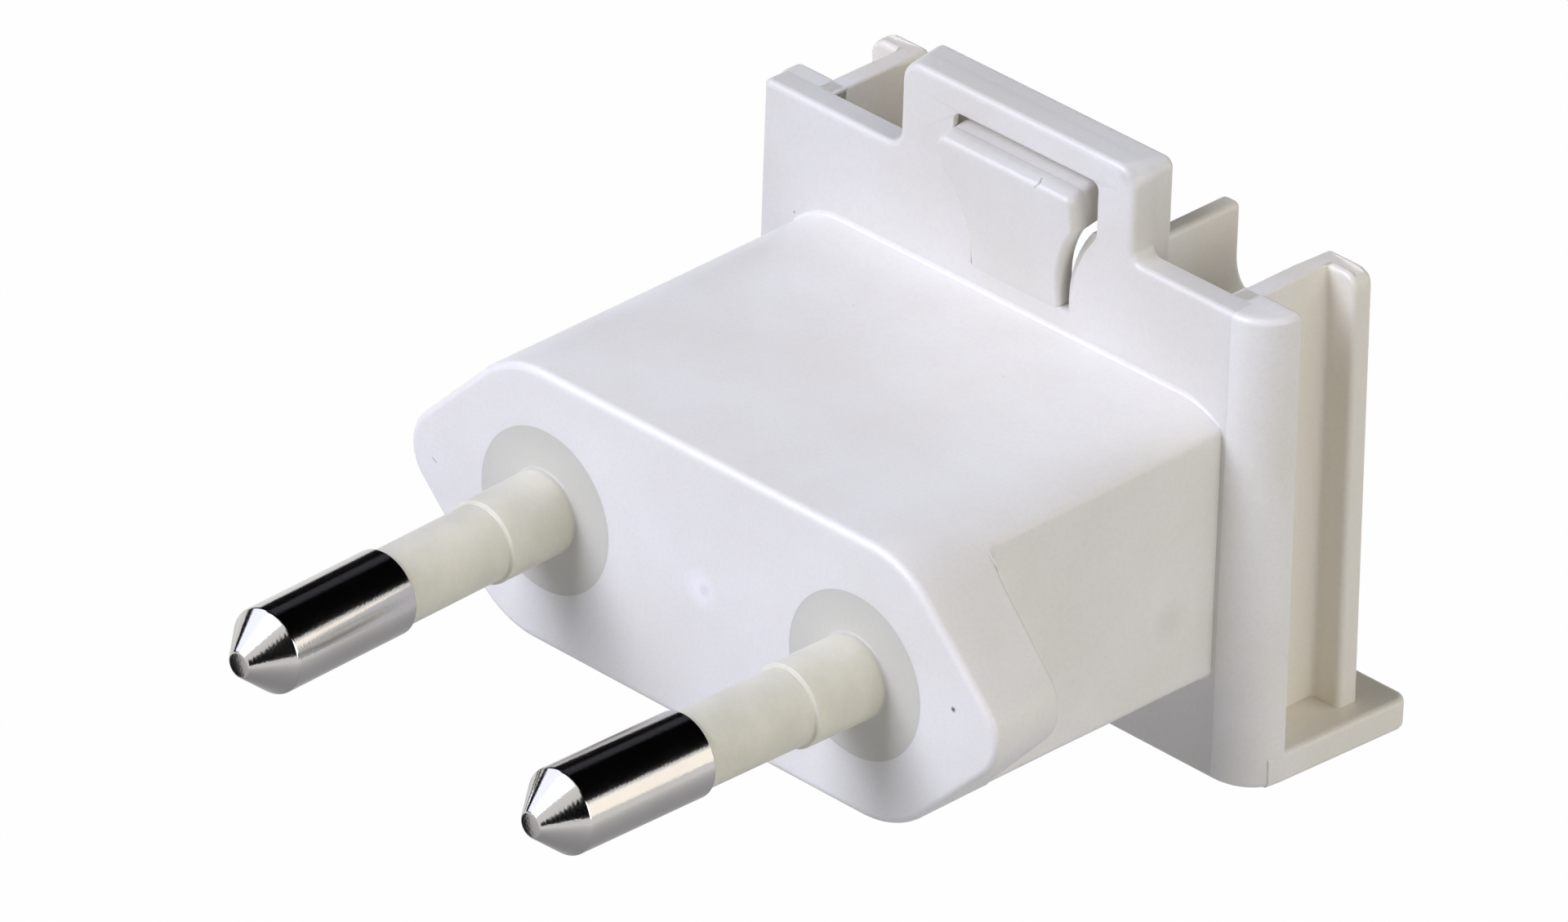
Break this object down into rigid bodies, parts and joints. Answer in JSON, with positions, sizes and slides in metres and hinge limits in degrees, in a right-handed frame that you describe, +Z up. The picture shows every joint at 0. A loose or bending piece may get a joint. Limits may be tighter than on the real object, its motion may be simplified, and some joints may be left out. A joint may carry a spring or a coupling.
{
  "type": "slide-on plug head with two round pins",
  "caption": "Slide-on mains plug head: hexagonal body, sleeved converging round pins, rear slide rails and a moulded latch tongue.",
  "frame": {"origin": "middle of the plug's front face, level with the pins' axes", "axes": "-Y out of the front face along the pins, +X to the right hand pin seen from the pins' tips, +Z up towards the latch tongue"},
  "size_m": [0.036, 0.0477, 0.028],
  "materials": {
    "white_moulding": "fine satin",
    "cream_moulding": "satin",
    "nickel_pin": "bright nickel plate",
    "bronze_spring": "bare rolled strip"
  },
  "bodies": {
    "root": {"housing": "white_moulding", "pin_bridge": "cream_moulding", "left_pin": "nickel_pin", "right_pin": "nickel_pin", "left_contact": "bronze_spring", "right_contact": "bronze_spring"}
  },
  "joints": []
}
